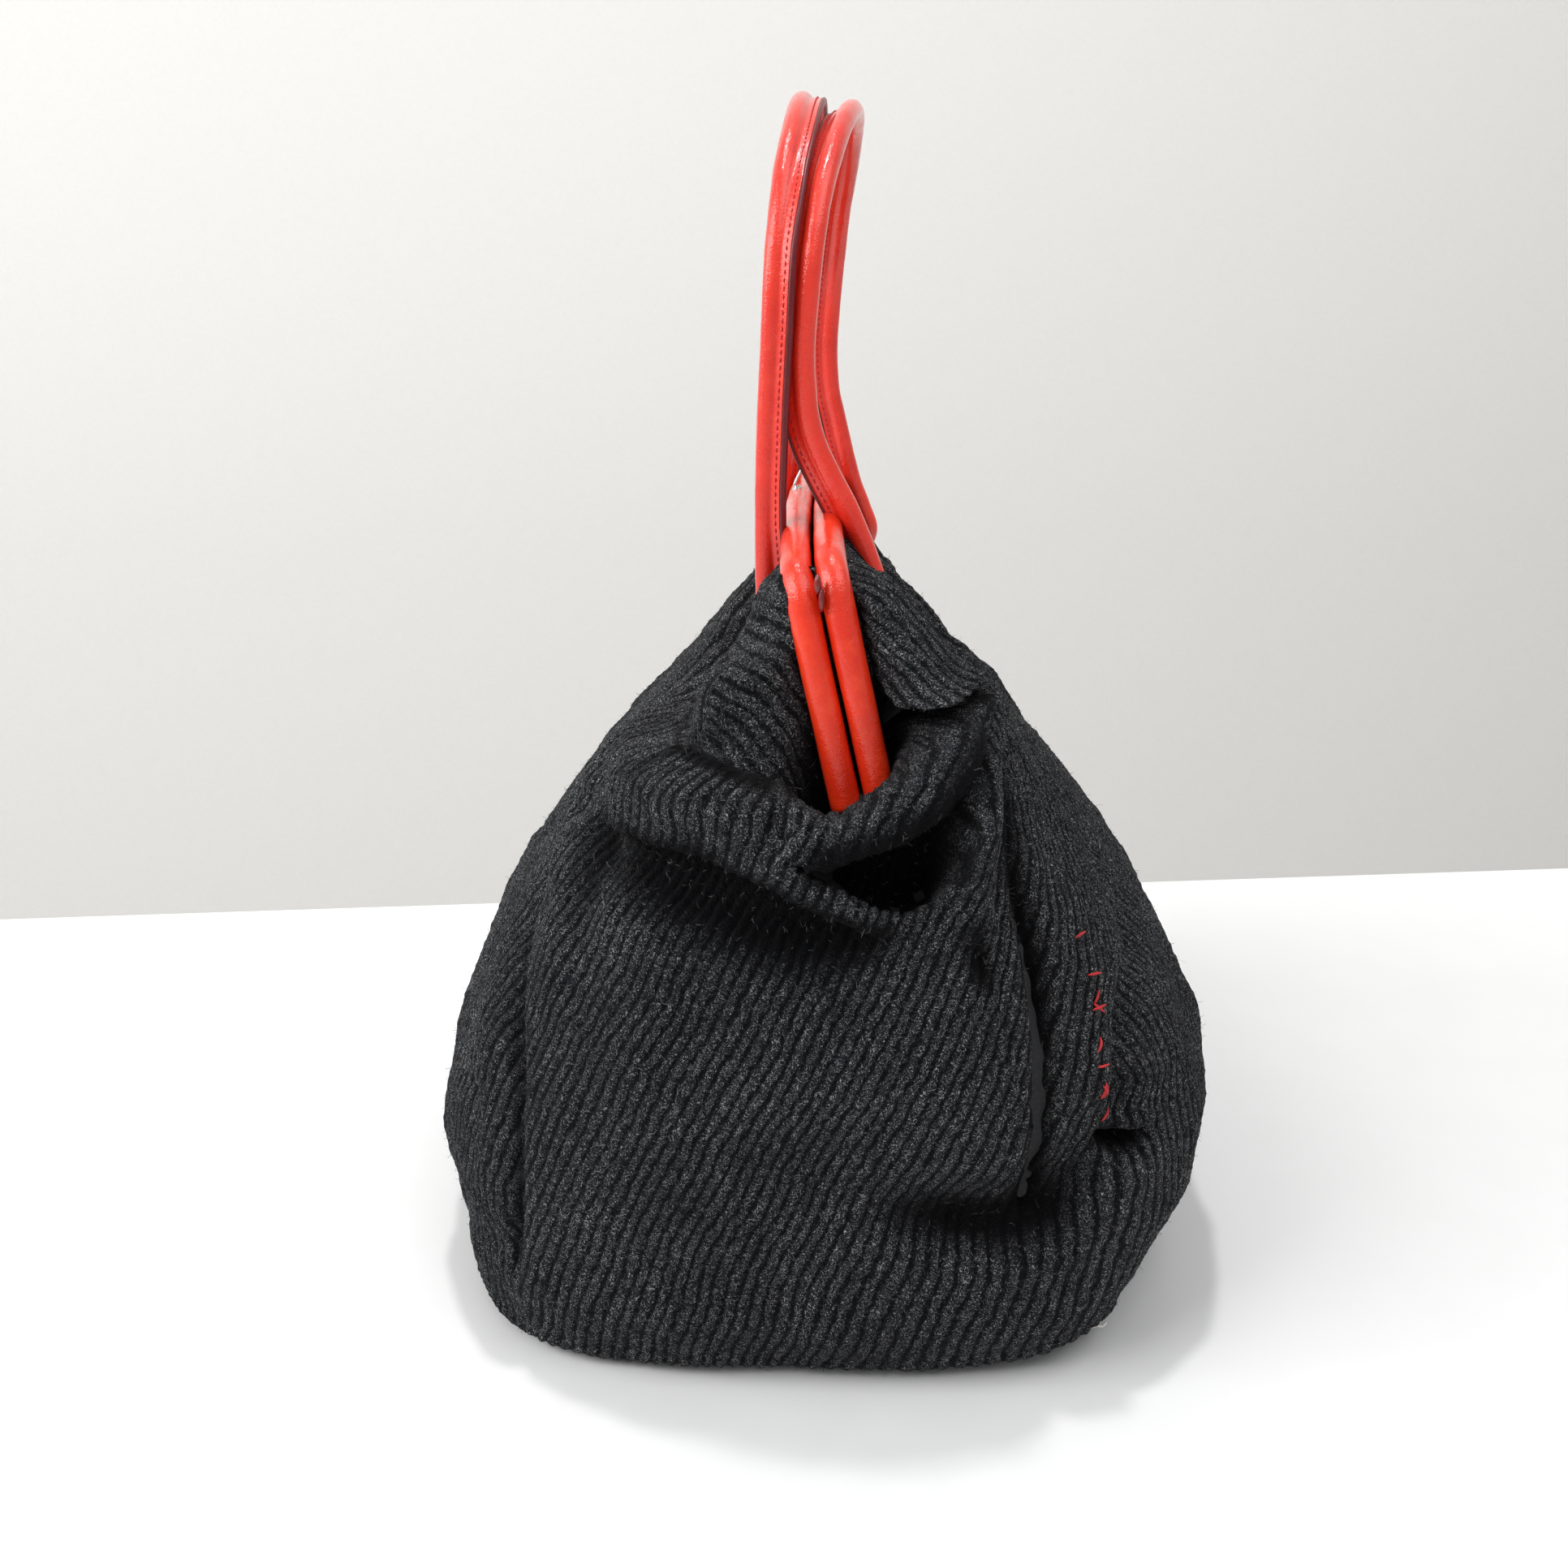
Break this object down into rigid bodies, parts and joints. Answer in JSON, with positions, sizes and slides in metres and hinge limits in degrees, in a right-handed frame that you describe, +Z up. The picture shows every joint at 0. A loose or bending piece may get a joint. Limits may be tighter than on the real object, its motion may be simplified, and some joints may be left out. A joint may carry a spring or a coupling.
{
  "type": "clasp-frame handbag",
  "caption": "Slouchy fabric handbag gathered onto a hinged leather-covered frame with a ball clasp and rolled leather handles that fold outwards.",
  "frame": {"origin": "centre of the flat base, on the surface the bag stands on", "axes": "+Z up; +Y along the mouth, from the pictured end to the far end; +X across the bag, towards the face with the hand stitches"},
  "size_m": [0.317, 0.376, 0.4601],
  "materials": {
    "wool": "ribbed charcoal melange wool",
    "leather": "glossy red glazed leather",
    "edge_paint": "painted leather edge, satin burgundy",
    "lining_cloth": "plain black lining",
    "steel": "plated steel",
    "nickel": "polished nickel",
    "fibreboard": "matt bag board",
    "cotton": "twisted cotton filler cord"
  },
  "bodies": {
    "bag": {"panel_front": "wool", "panel_back": "wool", "gusset_near": "wool", "gusset_far": "wool", "base_panel": "wool", "base_board": "fibreboard", "lining": "lining_cloth", "hinge_pin_near": "steel", "hinge_pin_far": "steel"},
    "frame_front": {"frame_core_front": "steel", "frame_sleeve_front": "leather", "clasp_ball_front": "nickel", "clasp_post_front": "nickel", "clasp_seat_front": "nickel", "collar_front": "wool", "collar_lining_front": "lining_cloth", "handle_tab_front_near": "leather", "handle_tab_front_far": "leather"},
    "frame_back": {"frame_core_back": "steel", "frame_sleeve_back": "leather", "clasp_ball_back": "nickel", "clasp_post_back": "nickel", "clasp_seat_back": "nickel", "collar_back": "wool", "collar_lining_back": "lining_cloth", "handle_tab_back_near": "leather", "handle_tab_back_far": "leather"},
    "handle_front": {"handle_leather_front": "leather", "handle_cord_front": "cotton", "handle_edge_front": "edge_paint"},
    "handle_back": {"handle_leather_back": "leather", "handle_cord_back": "cotton", "handle_edge_back": "edge_paint"}
  },
  "joints": [
    {"name": "frame_front_open", "type": "hinge", "parent": "bag", "child": "frame_front", "pos_m": [0.014, 0, 0.212], "axis": [0, 1, 0], "range_deg": [0, 30]},
    {"name": "frame_back_open", "type": "hinge", "parent": "bag", "child": "frame_back", "pos_m": [0.014, 0, 0.212], "axis": [0, 1, 0], "range_deg": [-30, 0]},
    {"name": "handle_front_swing", "type": "hinge", "parent": "frame_front", "child": "handle_front", "pos_m": [0.0226, 0, 0.289], "axis": [0, 1, 0], "range_deg": [0, 90]},
    {"name": "handle_back_swing", "type": "hinge", "parent": "frame_back", "child": "handle_back", "pos_m": [-0.0276, 0, 0.289], "axis": [0, 1, 0], "range_deg": [-90, 0]}
  ],
  "couplings": [
    {"joint": "frame_back_open", "follows": "frame_front_open", "ratio": -1}
  ]
}
